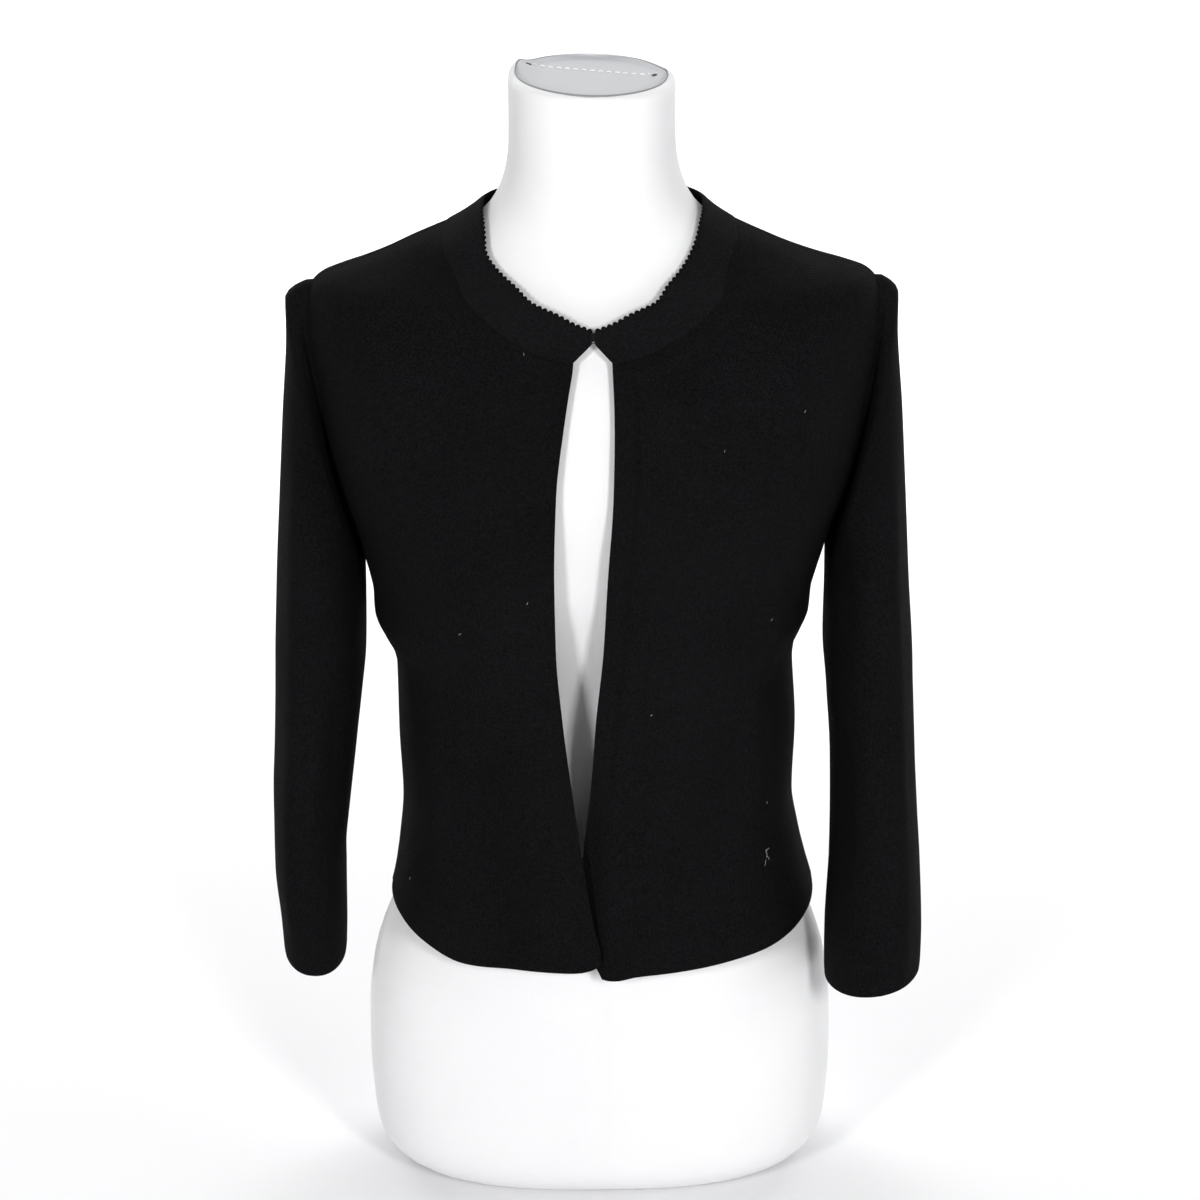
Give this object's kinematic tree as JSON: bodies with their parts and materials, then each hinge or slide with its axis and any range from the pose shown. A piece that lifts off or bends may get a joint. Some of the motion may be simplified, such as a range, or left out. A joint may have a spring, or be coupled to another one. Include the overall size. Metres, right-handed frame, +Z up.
{
  "type": "cardigan on a dress form",
  "caption": "Cropped open-front knit cardigan with a round neck band and three-quarter sleeves, worn on a limbless dress form with a flat base and a short neck.",
  "frame": {"origin": "middle of the dress form's flat base", "axes": "+Z up, -Y out of the garment's front, +X to the wearer's left"},
  "size_m": [0.4403, 0.2506, 0.7669],
  "materials": {
    "white_jersey": "matte white jersey cover",
    "black_knit": "matte fine-gauge knit",
    "black_band_knit": "matte folded knit band",
    "fastening_wire": "aged satin wire"
  },
  "bodies": {
    "root": {"dress_form": "white_jersey", "front_right": "black_knit", "front_left": "black_knit", "back": "black_knit", "sleeve_right": "black_knit", "sleeve_left": "black_knit", "neck_band": "black_band_knit", "picot_edge": "black_band_knit", "hook": "fastening_wire", "eye": "fastening_wire"}
  },
  "joints": []
}
